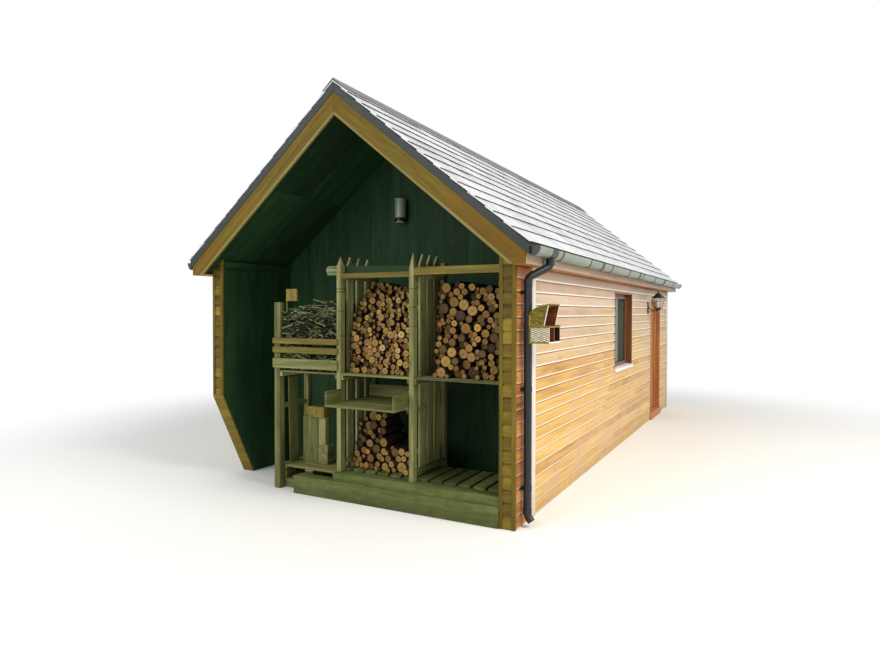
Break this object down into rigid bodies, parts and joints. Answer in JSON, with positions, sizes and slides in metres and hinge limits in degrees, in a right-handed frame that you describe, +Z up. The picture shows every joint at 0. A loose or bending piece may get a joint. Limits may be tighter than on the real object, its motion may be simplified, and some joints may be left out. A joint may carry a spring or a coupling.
{
  "type": "log store",
  "caption": "Clad timber outbuilding with a steep slate gable roof; its open front bay holds racking with stacked logs, and a closed room behind has a side door and window.",
  "frame": {"origin": "middle of the outline on the ground", "axes": "+X to the right along the open gable, +Y back along the building from the open gable, +Z up"},
  "size_m": [4.087, 8.358, 4.0466],
  "materials": {
    "cladding": "stained",
    "lining": "dark stain",
    "floor_boards": "worn",
    "slate": "riven",
    "ridge": "matt",
    "verge": "matt",
    "stained_trim": "stained",
    "gutter": "satin",
    "window_paint": "stained",
    "glass": "clear",
    "ironmongery": "black",
    "lantern_metal": "black",
    "store_light": "satin",
    "basketwork": "woven",
    "rack_timber": "sawn",
    "sleeper": "weathered",
    "firewood": "cut"
  },
  "bodies": {
    "root": {"wall_right_store": "cladding", "wall_right_room": "cladding", "wall_over_door": "cladding", "wall_right_rear": "cladding", "wall_left_store": "cladding", "wall_left_room": "cladding", "wall_partition": "lining", "wall_rear_gable": "cladding", "room_floor": "floor_boards", "roof_right": "lining", "roof_left": "lining", "slates_right": "slate", "slates_left": "slate", "ridge_cap": "ridge", "verges": "verge", "bargeboards": "stained_trim", "fascias": "stained_trim", "soffits": "stained_trim", "gutters": "gutter", "downpipe": "gutter", "end_trims": "stained_trim", "wall_trims": "stained_trim", "window_frame": "window_paint", "window_glass": "glass", "door_frame": "window_paint", "lantern": "lantern_metal", "store_light": "store_light", "nest_box": "basketwork", "divider_left": "rack_timber", "divider_middle": "rack_timber", "shelf_cleats": "rack_timber", "shelf_left": "rack_timber", "shelf_centre": "rack_timber", "shelf_right": "rack_timber", "top_shelf": "rack_timber", "top_rail": "rack_timber", "left_frame": "rack_timber", "left_slats": "rack_timber", "tray": "rack_timber", "base_timbers": "sleeper", "rack_floor": "sleeper", "left_pallet": "sleeper", "stored_timber": "rack_timber", "kindling": "firewood", "logs_centre_upper": "firewood", "logs_right_upper": "firewood", "logs_centre_lower": "firewood"},
    "door": {"door_leaf": "window_paint", "door_glass": "glass", "door_furniture": "ironmongery"}
  },
  "joints": [
    {"name": "door_hinge", "type": "hinge", "parent": "root", "child": "door", "pos_m": [1.622, 3.185, 1.08], "axis": [0, 0, -1], "range_deg": [0, 90]}
  ]
}
